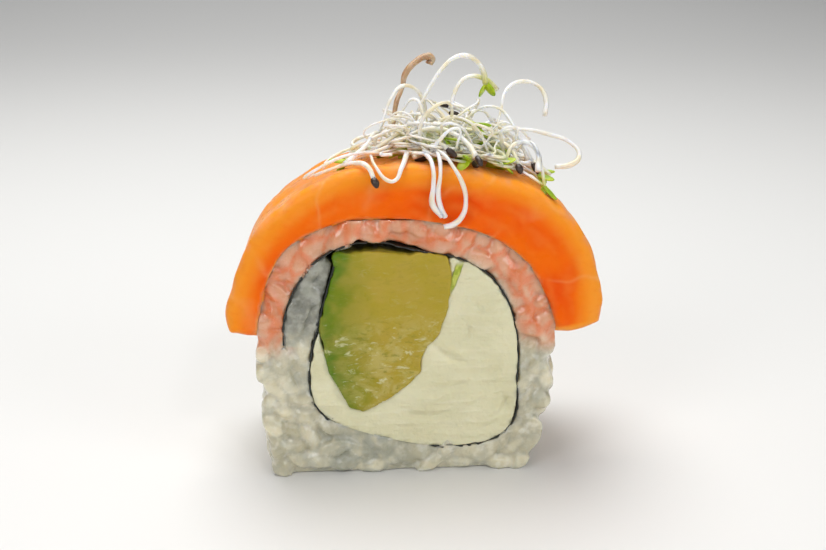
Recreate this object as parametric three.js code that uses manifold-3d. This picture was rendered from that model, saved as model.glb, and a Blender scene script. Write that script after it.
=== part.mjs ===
// One slice of an inside-out sushi roll. It stands on its flat side, with a cut face to the front and to the
// back. A spiral of nori wraps cream cheese and a wedge of avocado, and rice lies outside the nori. A thick
// slice of salmon is draped over the top, and a tangle of seed sprouts lies on the salmon.
// Millimetres, +Z up, +X to the right of the front cut face, -Y towards the viewer of that face.
// The origin is on the table, under the middle of the rice.

import * as THREE from "three";
import { mergeVertices } from "three/addons/utils/BufferGeometryUtils.js";
import Module from "manifold-3d";

const wasm = await Module();
wasm.setup();

// Driving dimensions
const SLICE_LENGTH = 24; // a roll as long as a nori sheet, about 190 mm, cut in eight
const CUT_FACE_Y = SLICE_LENGTH / 2;
const GAP = 0.25; // between neighbouring pieces
const TOOL_REACH = 6; // how far cutting tools run past the cut faces
const OUTLINE_STEPS = { rice: 44, nori: 84, avocado: 34, salmon: 28, salmonBed: 400 };
const TABLE_TOOL = 80; // side of the cube above the table that the rice is kept inside

// Rice, from the right end of the side that it stands on, over the top, to the left end, as [x, z]
const RICE_OUTLINE = [
  [16.6, 0], [18.9, 2.6], [20.1, 12], [19.7, 21.5], [18.3, 25.4], [15.4, 30.4], [9.2, 34.2], [-0.5, 36],
  [-9.2, 35.6], [-16.2, 32], [-19.2, 25.4], [-20.2, 16], [-19.1, 2.4], [-18.2, 0],
];
const RICE_RECESS = 1.1; // the packed rice lies this far behind the grains of the cut face
const RICE_FACE = { halfWidth: 20, bottom: 1, top: 36 }; // where grains of the cut face may lie
const GRAIN_LENGTH = 5.6;
const GRAIN_WIDTH = 2.5;
const GRAIN_SIDES = 5;
const GRAIN_RINGS = 3;
const GRAIN_SINK = 0.25; // depth of a grain's middle below the surface that it lies in
const GRAIN_TILT = 0.2; // how far a grain's axis leaves that surface, as a part of its length
const GRAIN_TURN = 0.9; // radians by which a grain of the cut face leaves the direction round the roll
const GRAIN_MARGIN = GRAIN_WIDTH / 2 - 0.1; // from a grain's middle in the cut face to nori and outline
const GRAIN_SPACING_FACE = 2.7;
const GRAIN_SPACING_SIDE = 3.2;
const GRAIN_TRIES = 2600;

// Nori, from its end beside the avocado, once round the filling and on down the left, as [x, z]
const NORI_SPIRAL = [
  [-9.7, 30.2], [-11.7, 23], [-13.3, 13.4], [-11.9, 9.3], [-8.2, 7.2], [-2.2, 5.2], [4.6, 3.9], [11.2, 4.4],
  [14.4, 7], [15, 13.6], [14.8, 20], [12.6, 26.2], [8.2, 30.2], [1.2, 32], [-5.6, 33.2], [-11.2, 31.4],
  [-14.6, 27.6], [-16.5, 22.6], [-16.7, 18.8],
];
const NORI_THICKNESS = 0.4;
const NORI_PROUD = 0.15; // the nori's edge stands out of the cut face by this much
const NORI_LONGER = 0.01; // the sheet runs past both ends of its line by this much

// Filling
const AVOCADO_OUTLINE = [
  [-10.6, 31], [-4.2, 32.6], [5.2, 31], [3.9, 19.6], [2.1, 18.2], [1.6, 14.8],
  [-7, 9.4], [-9.3, 12.6], [-11.1, 17], [-11.3, 26],
];
const AVOCADO_PROUD = 0.1;
const CHEESE_RECESS = 0.2;

// Salmon: thickness at even steps round the roll, from its right end over the top to its left end
const SALMON_THICKNESS = [5.9, 8.3, 8.5, 7.6, 7.2, 6.1, 4.7, 4.4, 4.8];
const SALMON_END_Z = 20.3;
const SALMON_LENGTH = 24.6;
const SALMON_EDGE_ROUND = 1.5;
const SALMON_WAVE = 0.3; // the slab's outer side rises and falls by this much
const SALMON_WAVES = [
  { size: 1, along: 0.27, round: 2.2, start: 0 },
  { size: 0.6, along: 0.16, round: -5, start: 1 },
]; // along: radians per millimetre of y, round: radians per radian round the roll
const SALMON_TAPER = 2.2; // the slab is this much thinner at the back, except at its right end
const SALMON_TAPER_PEAK = 2.38; // radians round the roll from the right, where the taper is at its most
const SALMON_CENTRE_Z = 20; // height of the middle that the slab is bent round
const SALMON_STEPS = 4;
const SALMON_CREST = { x: 1, z: 43.4, drop: 0.0187 }; // drop: height lost per square of the way sideways

// Sprouts
const STEM_RADIUS = 0.5;
const STEM_SIDES = 4;
const STEM_STEP = 2.4; // length of one straight piece of a stem
const LEAF_SIZE = [0.95, 0.45, 1.9]; // half width, half thickness, half length
const HULL_SIZE = [0.8, 0.75, 1.35];
const LEAF_SPREAD = [0.5, -0.2, 0.2]; // how far a pair of leaves parts from the stem's direction
const BUD_OFFSET = 0.6; // from a stem's tip to the middle of its leaf or hull, as a part of the half length
const TANGLE = { x: 3.5, y: 0, half: [10, 8.5, 2.8] }; // matted sprouts under the loose ones
const LOOSE_STEMS = 14;
const LOOSE_REACH = { left: -13, right: 18, front: -10.5, back: 10.5 };
const LOOSE_START = { x: 6.5, y: 5 }; // they start this far from the tangle's middle at most
const LOOSE_STRIDES = 5;
const LOOSE_CURL = 0.9; // radians of turn for each stride, at most
const LOOSE_WOBBLE = 0.4;
const LOOSE_LIFT = 1; // above the salmon where they start and end

// Arches that stand out of the tangle, through three points [x, y, z]
const ARCHES = [
  { ends: "leaf", through: [[3.7, 0, 44.3], [10.6, 2, 56], [16.4, 5, 48.4]] },
  { ends: "bare", through: [[-5.2, -3, 43.4], [0.4, 0, 51.4], [5.2, 2, 44.4]] },
  { ends: "bare", through: [[1, 3, 44], [1.4, 4, 52], [5.2, 5, 55.2], [5, 5, 50.4]] },
  { ends: "bare", through: [[-7.2, -5, 43], [4, -4, 46.4], [12.6, 4, 44]] },
  { ends: "hull", through: [[2.6, -4, 44.8], [6.6, -8, 46.4], [9.7, -12.8, 42.8]] },
  { ends: "leaf", through: [[5.6, -1, 44], [8, -3, 47.4], [11, -2.4, 46]] },
  { ends: "hull", through: [[9, 3, 43], [10, 2, 47.4], [8.4, 1.2, 49]] },
  { ends: "leaf", through: [[8.6, -1, 43.6], [13.4, -5, 44], [17, -6, 40.9]] },
];

// Sprouts that hang over the front edge at x, down to z, and swing sideways half way down and at the tip
const HANGING = [
  { ends: "hull", x: -4.8, down: 41.2, half: 0.4, tip: 0.9 },
  { ends: "bare", x: -2.4, down: 41, half: -0.2, tip: 0.6 },
  { ends: "bare", x: 3.2, down: 36.8, half: 1.1, tip: 1.2 },
  { ends: "bare", x: 5, down: 36.6, half: 0.3, tip: 1.4 },
  { ends: "bare", x: 7, down: 35.3, half: 1.7, tip: -0.8 },
];
const HANG_Y = -13.4;
const HANG_START = { y: -4, lift: 1.3 };
const HANG_BEND = { back: 1.2, lift: 0.9 }; // just before the sprout goes over the edge

const SEED = 20240519;

// A repeatable row of numbers from 0 up to 1
let drawn = SEED;

function draw() {
  drawn = (Math.imul(drawn, 1664525) + 1013904223) >>> 0;
  return drawn / 2 ** 32;
}

const drawBetween = (low, high) => low + (high - low) * draw();

// Solids, their unions and their meshes

function solidFrom(geometry) {
  const bare = geometry.clone();
  bare.deleteAttribute("normal");
  bare.deleteAttribute("uv");
  const merged = mergeVertices(bare, 1e-4);
  return new wasm.Manifold(
    new wasm.Mesh({
      numProp: 3,
      vertProperties: merged.attributes.position.array,
      triVerts: new Uint32Array(merged.index.array),
    }),
  );
}

const join = (solids) => solids.reduce((whole, solid) => whole.add(solid));

const largestPiece = (solid) => solid.decompose().reduce((a, b) => (b.volume() > a.volume() ? b : a));

function meshOf(name, solid, color, roughness) {
  const { vertProperties, triVerts } = solid.getMesh();
  const geometry = new THREE.BufferGeometry();
  geometry.setAttribute("position", new THREE.BufferAttribute(vertProperties, 3));
  geometry.setIndex(new THREE.BufferAttribute(triVerts, 1));
  geometry.computeVertexNormals();
  const mesh = new THREE.Mesh(geometry, new THREE.MeshStandardMaterial({ color, roughness, metalness: 0 }));
  mesh.name = name;
  return mesh;
}

// Moves every vertex of a geometry to where move(x, y, z) puts it.
function reshaped(geometry, move) {
  const position = geometry.attributes.position;
  for (let i = 0; i < position.count; i++) {
    position.setXYZ(i, ...move(position.getX(i), position.getY(i), position.getZ(i)));
  }
  return geometry;
}

// Flat outlines in the plane of the cut face

const curveThrough = (points, closed) =>
  new THREE.CatmullRomCurve3(points.map(([x, z]) => new THREE.Vector3(x, z, 0)), closed, "centripetal");

const evenPoints = (curve, count) => curve.getSpacedPoints(count).map((p) => new THREE.Vector2(p.x, p.y));

const counterclockwise = (outline) => (THREE.ShapeUtils.isClockWise(outline) ? outline.reverse() : outline);

// The direction to the right of a line at its point i, which is outwards on a counterclockwise outline.
function sideways(line, i, closed) {
  const last = line.length - 1;
  const before = closed ? line[(i + last) % (last + 1)] : line[Math.max(i - 1, 0)];
  const after = closed ? line[(i + 1) % (last + 1)] : line[Math.min(i + 1, last)];
  const along = after.clone().sub(before).normalize();
  return new THREE.Vector2(along.y, -along.x);
}

const grownOutline = (outline, distance) =>
  outline.map((point, i) => point.clone().addScaledVector(sideways(outline, i, true), distance));

const shiftedLine = (line, distance) =>
  line.map((point, i) => point.clone().addScaledVector(sideways(line, i, false), distance));

// A band round an open line, longer than the line by the same extra at both ends.
function bandOutline(line, halfWidth, extra) {
  const [first, second] = line;
  const [last, previous] = [line.at(-1), line.at(-2)];
  const start = first.clone().add(first.clone().sub(second).setLength(extra));
  const end = last.clone().add(last.clone().sub(previous).setLength(extra));
  const longer = [start, ...line, end];
  return [...shiftedLine(longer, halfWidth), ...shiftedLine(longer, -halfWidth).reverse()];
}

function isInside(outline, x, z) {
  let inside = false;
  outline.forEach((a, i) => {
    const b = outline[(i + 1) % outline.length];
    if (a.y > z !== b.y > z && x < ((b.x - a.x) * (z - a.y)) / (b.y - a.y) + a.x) inside = !inside;
  });
  return inside;
}

const distanceTo = (points, x, z) => Math.min(...points.map((p) => Math.hypot(p.x - x, p.y - z)));

// Runs an outline along the slice, as far to the front as to the back.
function layerGeometry(outline, options) {
  const geometry = new THREE.ExtrudeGeometry(new THREE.Shape(outline), options);
  return geometry.rotateX(Math.PI / 2).translate(0, options.depth / 2, 0);
}

const layer = (outline, halfLength) =>
  solidFrom(layerGeometry(outline, { depth: 2 * halfLength, bevelEnabled: false }));

// The outlines of the layers

const riceOutline = evenPoints(curveThrough(RICE_OUTLINE, false), OUTLINE_STEPS.rice);
const noriLine = evenPoints(curveThrough(NORI_SPIRAL, false), OUTLINE_STEPS.nori);
const avocadoLine = evenPoints(curveThrough(AVOCADO_OUTLINE, true), OUTLINE_STEPS.avocado);
const avocadoOutline = counterclockwise(avocadoLine.slice(1));

// The nori's first turn closes where its outer turn passes its own start.
const insideOfNori = (() => {
  const start = noriLine[0];
  const outerTurn = noriLine.slice(noriLine.length >> 1);
  const passing = outerTurn.reduce((a, b) => (b.distanceTo(start) < a.distanceTo(start) ? b : a));
  return counterclockwise(noriLine.slice(0, noriLine.indexOf(passing) + 1));
})();

// The salmon follows the rice between its two ends, and is as thick as SALMON_THICKNESS says.
const salmonOutline = (() => {
  const thickness = new THREE.SplineCurve(SALMON_THICKNESS.map((value, i) => new THREE.Vector2(i, value)));
  const bed = evenPoints(curveThrough(RICE_OUTLINE, false), OUTLINE_STEPS.salmonBed);
  const covered = bed.filter((p) => p.y >= SALMON_END_Z);
  const count = OUTLINE_STEPS.salmon;
  const evenly = (_, i) => covered[Math.floor((i * (covered.length - 1)) / count)];
  const inner = Array.from({ length: count + 1 }, evenly);
  const outer = inner.map((point, i) =>
    point.clone().addScaledVector(sideways(inner, i, false), GAP + thickness.getPoint(i / count).y),
  );
  return [...outer, ...shiftedLine(inner, -1).reverse()];
})();

// How much thinner the slab is at y than at the front, at an angle round the roll from its right end
function thinning(y, round) {
  const wayBack = Math.max(0, (y + CUT_FACE_Y) / SLICE_LENGTH);
  const wayRound = Math.max(0, Math.sin(((Math.PI / 2) * round) / SALMON_TAPER_PEAK));
  return SALMON_TAPER * wayBack * wayRound;
}

// The slab was cut by hand: its outer side waves, and falls away to the back over the top and the left.
function waved(geometry) {
  return reshaped(geometry, (x, y, z) => {
    const round = Math.atan2(z - SALMON_CENTRE_Z, x);
    const waves = SALMON_WAVES.map((w) => w.size * Math.sin(w.along * y + w.round * round + w.start));
    const raised = SALMON_WAVE * waves.reduce((a, b) => a + b) - thinning(y, round);
    const outwards = 1 + raised / Math.hypot(x, z - SALMON_CENTRE_Z);
    return [x * outwards, y, SALMON_CENTRE_Z + (z - SALMON_CENTRE_Z) * outwards];
  });
}

// Tools that keep the layers apart
const noriTool = layer(bandOutline(noriLine, NORI_THICKNESS / 2 + GAP, GAP), CUT_FACE_Y + TOOL_REACH);
const fillingTool = layer(insideOfNori, CUT_FACE_Y + TOOL_REACH);
const avocadoTool = layer(grownOutline(avocadoOutline, GAP), CUT_FACE_Y + TOOL_REACH);
const riceTool = layer(grownOutline(riceOutline, GAP), CUT_FACE_Y + TOOL_REACH);
const evenSalmonTool = layer(grownOutline(salmonOutline, GAP), SALMON_LENGTH / 2 + GAP);
const salmonTool = solidFrom(
  waved(
    layerGeometry(grownOutline(salmonOutline, GAP), {
      depth: SALMON_LENGTH + 2 * GAP,
      steps: SALMON_STEPS,
      bevelEnabled: false,
    }),
  ),
);

function makeNori() {
  return layer(bandOutline(noriLine, NORI_THICKNESS / 2, NORI_LONGER), CUT_FACE_Y + NORI_PROUD);
}

function makeAvocado() {
  const wedge = layer(avocadoOutline, CUT_FACE_Y + AVOCADO_PROUD);
  return largestPiece(wedge.intersect(fillingTool).subtract(noriTool));
}

function makeCreamCheese() {
  const filling = layer(insideOfNori, CUT_FACE_Y - CHEESE_RECESS);
  return largestPiece(filling.subtract(noriTool).subtract(avocadoTool));
}

function makeSalmon() {
  const slab = layerGeometry(salmonOutline, {
    depth: SALMON_LENGTH - 2 * SALMON_EDGE_ROUND,
    bevelThickness: SALMON_EDGE_ROUND,
    bevelSize: SALMON_EDGE_ROUND,
    bevelOffset: -SALMON_EDGE_ROUND,
    bevelSegments: 3,
    steps: SALMON_STEPS,
  });
  return largestPiece(solidFrom(waved(slab)).subtract(riceTool));
}

// Rice

const grainShape = new THREE.SphereGeometry(0.5, GRAIN_SIDES, GRAIN_RINGS);
grainShape.scale(GRAIN_WIDTH, GRAIN_LENGTH, GRAIN_WIDTH);

// A grain with its long axis along the given direction, whole or broken off short.
function grainAt(position, along) {
  const turn = new THREE.Quaternion().setFromUnitVectors(new THREE.Vector3(0, 1, 0), along.normalize());
  const size = new THREE.Vector3(drawBetween(0.9, 1.1), drawBetween(0.75, 1.05), drawBetween(0.9, 1.1));
  return solidFrom(grainShape.clone().applyMatrix4(new THREE.Matrix4().compose(position, turn, size)));
}

// Tries places one after another, and keeps those that are far enough from all the places kept before.
function scatterGrains(spacing, tryPlace) {
  const kept = [];
  for (let i = 0; i < GRAIN_TRIES; i++) {
    const place = tryPlace();
    const isFree = (other) => other.position.distanceTo(place.position) >= spacing;
    if (place && kept.every(isFree)) kept.push(place);
  }
  return kept.map(({ position, along }) => grainAt(position, along));
}

// Grains in a cut face: in the ring of rice and in the fold between the two turns of nori.
function placeInCutFace(side) {
  const x = drawBetween(-RICE_FACE.halfWidth, RICE_FACE.halfWidth);
  const z = drawBetween(RICE_FACE.bottom, RICE_FACE.top);
  const onRice = isInside(riceOutline, x, z) && !isInside(insideOfNori, x, z);
  const room = Math.min(distanceTo(riceOutline, x, z), distanceTo(noriLine, x, z));
  if (!onRice || room < GRAIN_MARGIN) return null;
  const round = Math.atan2(z - SALMON_CENTRE_Z, x) + Math.PI / 2 + drawBetween(-GRAIN_TURN, GRAIN_TURN);
  return {
    position: new THREE.Vector3(x, side * (CUT_FACE_Y - RICE_RECESS - GRAIN_SINK), z),
    along: new THREE.Vector3(Math.cos(round), drawBetween(-GRAIN_TILT, GRAIN_TILT), Math.sin(round)),
  };
}

// Grains in the round side of the rice, below the ends of the salmon.
function placeInSide() {
  const below = riceOutline.filter((p) => p.y < SALMON_END_Z + GRAIN_WIDTH / 2);
  const { x, y: height } = below[Math.floor(draw() * below.length)];
  const turn = drawBetween(0, Math.PI);
  const reach = CUT_FACE_Y - GRAIN_WIDTH / 4 - (Math.abs(Math.cos(turn)) * GRAIN_LENGTH) / 2;
  const z = Math.max(height + drawBetween(-1, 1), GRAIN_WIDTH / 3);
  return {
    position: new THREE.Vector3(x - Math.sign(x) * GRAIN_SINK, drawBetween(-reach, reach), z),
    along: new THREE.Vector3(drawBetween(-GRAIN_TILT, GRAIN_TILT), Math.cos(turn), Math.sin(turn)),
  };
}

function makeRice() {
  const grains = join([
    ...scatterGrains(GRAIN_SPACING_FACE, () => placeInCutFace(-1)),
    ...scatterGrains(GRAIN_SPACING_FACE, () => placeInCutFace(1)),
    ...scatterGrains(GRAIN_SPACING_SIDE, placeInSide),
  ]);
  const packed = layer(riceOutline, CUT_FACE_Y - RICE_RECESS);
  const whole = packed.add(grains.subtract(salmonTool).subtract(evenSalmonTool));
  const cube = new THREE.BoxGeometry(TABLE_TOOL, TABLE_TOOL, TABLE_TOOL);
  const aboveTable = solidFrom(cube.translate(0, 0, TABLE_TOOL / 2));
  return largestPiece(whole.subtract(noriTool).subtract(fillingTool).intersect(aboveTable));
}

// Sprouts

const topOfSalmon = (x, y) =>
  SALMON_CREST.z - SALMON_CREST.drop * (x - SALMON_CREST.x) ** 2 - thinning(y, Math.PI / 2);

function stem(points) {
  const path = new THREE.CatmullRomCurve3(points, false, "centripetal");
  const corners = Array.from({ length: STEM_SIDES }, (_, i) =>
    new THREE.Vector2(STEM_RADIUS, 0).rotateAround(new THREE.Vector2(), (2 * Math.PI * i) / STEM_SIDES),
  );
  const steps = Math.max(4, Math.round(path.getLength() / STEM_STEP));
  return solidFrom(
    new THREE.ExtrudeGeometry(new THREE.Shape(corners), { steps, extrudePath: path, bevelEnabled: false }),
  );
}

// A leaf or a hull, with its middle past the tip of the stem.
function bud(size, tip, along) {
  const turn = new THREE.Quaternion().setFromUnitVectors(new THREE.Vector3(0, 0, 1), along);
  const middle = tip.clone().addScaledVector(along, size[2] * BUD_OFFSET);
  const shape = new THREE.SphereGeometry(1, 5, 3).rotateX(Math.PI / 2);
  return solidFrom(shape.applyMatrix4(new THREE.Matrix4().compose(middle, turn, new THREE.Vector3(...size))));
}

// A stem through the points that ends bare, in a seed's hull or in a pair of leaves.
function sprout(points, ends) {
  const path = points.map((p) => new THREE.Vector3(...p));
  const tip = path.at(-1);
  const along = tip.clone().sub(path.at(-2)).normalize();
  const pieces = [stem(path)];
  if (ends === "hull") pieces.push(bud(HULL_SIZE, tip, along));
  if (ends === "leaf") {
    for (const side of [-1, 1]) {
      const [x, y, z] = LEAF_SPREAD;
      const spread = along.clone().add(new THREE.Vector3(x * side, y * side, z)).normalize();
      pieces.push(bud(LEAF_SIZE, tip, spread));
    }
  }
  return join(pieces);
}

function hangingSprout({ x, down, half, tip, ends }) {
  const top = topOfSalmon(x, HANG_Y);
  const points = [
    [x, HANG_START.y, top + HANG_START.lift],
    [x, HANG_Y + HANG_BEND.back, top + HANG_BEND.lift],
    [x + half / 2, HANG_Y, (3 * top + down) / 4],
    [x + half, HANG_Y, (top + 2 * down) / 3],
    [x + tip, HANG_Y, down],
  ];
  return sprout(points, ends);
}

// A sprout that starts in the tangle, arches over the salmon and comes down on it again.
function looseSprout() {
  let x = TANGLE.x + drawBetween(-LOOSE_START.x, LOOSE_START.x);
  let y = TANGLE.y + drawBetween(-LOOSE_START.y, LOOSE_START.y);
  let heading = drawBetween(0, 2 * Math.PI);
  const curl = drawBetween(-LOOSE_CURL, LOOSE_CURL);
  const rise = drawBetween(1.2, 5.5);
  const stride = drawBetween(2.2, 4.2);
  const points = [];
  for (let i = 0; i <= LOOSE_STRIDES; i++) {
    const height = LOOSE_LIFT + rise * Math.sin((Math.PI * i) / LOOSE_STRIDES);
    points.push([x, y, topOfSalmon(x, y) + height]);
    heading += curl + drawBetween(-LOOSE_WOBBLE, LOOSE_WOBBLE);
    x = THREE.MathUtils.clamp(x + stride * Math.cos(heading), LOOSE_REACH.left, LOOSE_REACH.right);
    y = THREE.MathUtils.clamp(y + stride * Math.sin(heading), LOOSE_REACH.front, LOOSE_REACH.back);
  }
  const ends = ["bare", "bare", "leaf", "hull"][Math.floor(draw() * 4)];
  return sprout(points, ends);
}

// A low mound that follows the salmon's crest.
function mattedSprouts() {
  const mound = new THREE.SphereGeometry(1, 12, 6).rotateX(Math.PI / 2);
  mound.scale(...TANGLE.half).translate(TANGLE.x, TANGLE.y, 0);
  return solidFrom(reshaped(mound, (x, y, z) => [x, y, z + topOfSalmon(x, y)]));
}

function makeSprouts() {
  const heap = join([
    mattedSprouts(),
    ...ARCHES.map(({ through, ends }) => sprout(through, ends)),
    ...HANGING.map(hangingSprout),
    ...Array.from({ length: LOOSE_STEMS }, looseSprout),
  ]);
  return largestPiece(heap.subtract(salmonTool));
}

const slice = new THREE.Group();
slice.add(
  meshOf("rice", makeRice(), 0xe9e5d6, 0.5),
  meshOf("nori", makeNori(), 0x1b211b, 0.6),
  meshOf("cream_cheese", makeCreamCheese(), 0xe8e3c4, 0.55),
  meshOf("avocado", makeAvocado(), 0xb0a63c, 0.4),
  meshOf("salmon", makeSalmon(), 0xf6832e, 0.35),
  meshOf("sprouts", makeSprouts(), 0xeee2c0, 0.45),
);

export default slice;
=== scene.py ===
"""The looks of one slice of salmon uramaki: rice, nori, cream cheese, avocado, salmon and sprouts.

Everything is in metres, in the part's own frame: -Y is the front cut face, +Z is up, and the table is
at z = 0. Tables of points are in millimetres.
"""

import math
import random

import bmesh
import bpy
from mathutils import Matrix, Vector, noise
from mathutils.bvhtree import BVHTree
from mathutils.kdtree import KDTree


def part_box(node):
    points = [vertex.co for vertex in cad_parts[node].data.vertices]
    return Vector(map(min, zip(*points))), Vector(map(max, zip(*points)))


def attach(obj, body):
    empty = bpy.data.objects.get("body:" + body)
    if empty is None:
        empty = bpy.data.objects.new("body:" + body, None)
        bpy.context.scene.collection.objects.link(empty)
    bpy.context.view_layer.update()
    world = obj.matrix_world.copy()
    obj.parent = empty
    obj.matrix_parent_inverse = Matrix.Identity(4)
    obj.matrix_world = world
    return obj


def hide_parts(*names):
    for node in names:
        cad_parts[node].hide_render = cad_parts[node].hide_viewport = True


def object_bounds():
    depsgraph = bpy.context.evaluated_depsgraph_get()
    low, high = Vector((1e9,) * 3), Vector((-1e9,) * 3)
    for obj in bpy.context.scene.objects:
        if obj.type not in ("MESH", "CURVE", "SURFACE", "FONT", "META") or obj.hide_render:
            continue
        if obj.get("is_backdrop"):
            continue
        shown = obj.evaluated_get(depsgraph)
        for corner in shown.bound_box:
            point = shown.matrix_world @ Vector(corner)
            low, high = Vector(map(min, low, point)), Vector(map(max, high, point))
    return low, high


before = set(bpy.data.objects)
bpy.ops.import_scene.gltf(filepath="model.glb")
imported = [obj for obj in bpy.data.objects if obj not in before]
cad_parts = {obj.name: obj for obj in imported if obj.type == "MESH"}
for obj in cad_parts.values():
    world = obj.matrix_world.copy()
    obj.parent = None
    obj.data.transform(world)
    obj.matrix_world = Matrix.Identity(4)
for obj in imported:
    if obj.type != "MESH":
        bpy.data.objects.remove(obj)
cad_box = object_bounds()

MM = 0.001
CUT_FACE_Y = 12 * MM
ROLL_CENTRE = Vector((0, 0, 20 * MM))

# Camera: it stands where the photographer stood, with a longer lens
FACE_MIDDLE = Vector((0, -12, 26)) * MM
CAMERA_AZIMUTH = math.radians(-4.5)
CAMERA_ELEVATION = math.radians(17.8)
CAMERA_DISTANCE = 167.5 * MM
CAMERA_AIM = Vector((1, -8, 27.5)) * MM
CAMERA_LENS = 55
SENSOR_WIDTH = 36
FLOOR_HALF_SIZE = 1.5

# Salmon: its right end is fuller and hangs lower than the rest of its side, and its left end is rounded off
RIGHT_END_SWELL = 0.95 * MM
RIGHT_END_SAG = 0.9 * MM
LEFT_END_ROUND = 1.1 * MM

# Rice grains: the half width, the half length, the heights and the flank's depth are in millimetres
GRAIN_LENGTH = 5.5 * MM
GRAIN_WIDTH = 2.4 * MM
GRAIN_SEGMENTS = 9
GRAIN_RINGS = 7
GRAIN_SPREADS = ((0.85, 1.12), (0.85, 1.1), (0.7, 1.05))  # of the width, the thickness and the length
GRAIN_CORE = 0.32  # half the straight part of a grain, as a part of its length
NEAR_GRAINS = 5  # how many grains are looked at to find the nearest
GRAIN_TRIES = 5200
GRAIN_DEPTH = (1.1 * MM, 1.6 * MM)  # of a grain's middle below the cut face
FACE_SPACING = 1.95 * MM
FACE_HALF_WIDTH = 21.5
FACE_HEIGHTS = (0.9, 36.8)
FACE_RELIEF = 2.6 * MM
FACE_MARGIN = 0.65 * MM
FACE_SIDE_MARGIN = 0.9 * MM
CUT_FACE_TILT = 0.3
FLANK_SPACING = 2.1 * MM
FLANK_HALF_LENGTH = 11.0
FLANK_HEIGHTS = (0.8, 24)
FLANK_DEPTH = (0.75, 1.25)
SALMON_MARGIN = 0.9 * MM
RICE_VOXEL = 0.31 * MM
FLUSH_DEPTH = 4 * MM
FLUSH_NEAR = 0.6

# The rice's two sides in millimetres, as (z, x)
RICE_SIDES = {
    -1: ((0, -18.2), (2.4, -19.1), (16, -20.2), (21, -19.9), (25.4, -19.2)),
    1: ((0, 15.2), (0.7, 16.4), (2.3, 17.7), (4.8, 18.6), (8, 19.3), (12, 20.1), (21.5, 19.7), (25.4, 18.3)),
}
SIDES_END = 25 * MM
SIDE_SLACK = 0.3 * MM
SIDE_HELD = 0.75
FACE_SLACK = 0.05 * MM
FACE_HELD = 0.9
SIDE_BED = 1.0 * MM
SIDE_BED_TOP = 19 * MM
CORE_Y = 10.9 * MM

# How far layers reach over each other
OVERLAP = 0.13 * MM
HIDING_OVERLAP = 0.14 * MM
NORI_REACH = 1.3 * MM
CHEESE_OVER_NORI = 0.6 * MM
NORI_PASSED = 0.2 * MM
AVOCADO_DROP = 0.9 * MM

# Knife marks in the cream cheese in millimetres: x, z, half length, half width, depth and turn
CHEESE_MARKS = (
    (5.6, 16.8, 2.9, 0.5, 0.6, -0.55), (6.4, 17.9, 2.4, 0.5, -0.35, -0.5), (13.6, 9.6, 1.2, 0.55, 0.8, 1.35),
    (8.2, 20.4, 1.3, 0.4, 0.45, 1.45), (6.0, 12.6, 2.8, 0.45, 0.4, 0.1), (11.0, 6.4, 2.4, 0.45, 0.4, 0.35),
    (1.4, 8.6, 3.0, 0.5, 0.4, -0.2), (10.4, 23.2, 1.6, 0.45, 0.4, -0.3), (12.6, 14.2, 1.5, 0.5, -0.4, 0.9),
    (3.4, 11.0, 1.8, 0.55, -0.4, 0.25), (-9.5, 11.4, 1.6, 0.45, 0.35, -1.0), (9.4, 10.0, 1.4, 0.5, 0.35, 0.5),
)

# Nori in millimetres, from its end beside the avocado, once round the filling and on down the left, as (x, z)
NORI_SPIRAL = (
    (-9.7, 30.2), (-11.7, 23), (-13.3, 13.4), (-11.9, 9.3), (-8.2, 7.2), (-2.2, 5.2), (4.6, 3.9), (11.2, 4.4),
    (14.4, 7), (15, 13.6), (14.8, 20), (12.6, 26.2), (8.2, 30.2), (1.2, 32), (-5.6, 33.2), (-11.2, 31.4),
    (-14.6, 27.6), (-16.5, 22.6), (-16.7, 18.8),
)
NORI_ROWS = (-12.1, -11.85, -11.5, -10.9, -9, -4, 4, 9, 10.9, 11.5, 11.85, 12.1)
NORI_THICKNESS = 0.2
NORI_TORN_FROM = 10 * MM
NORI_HIDDEN_DEPTH = 1.2
NORI_TORN_MOST = 1.9

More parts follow.
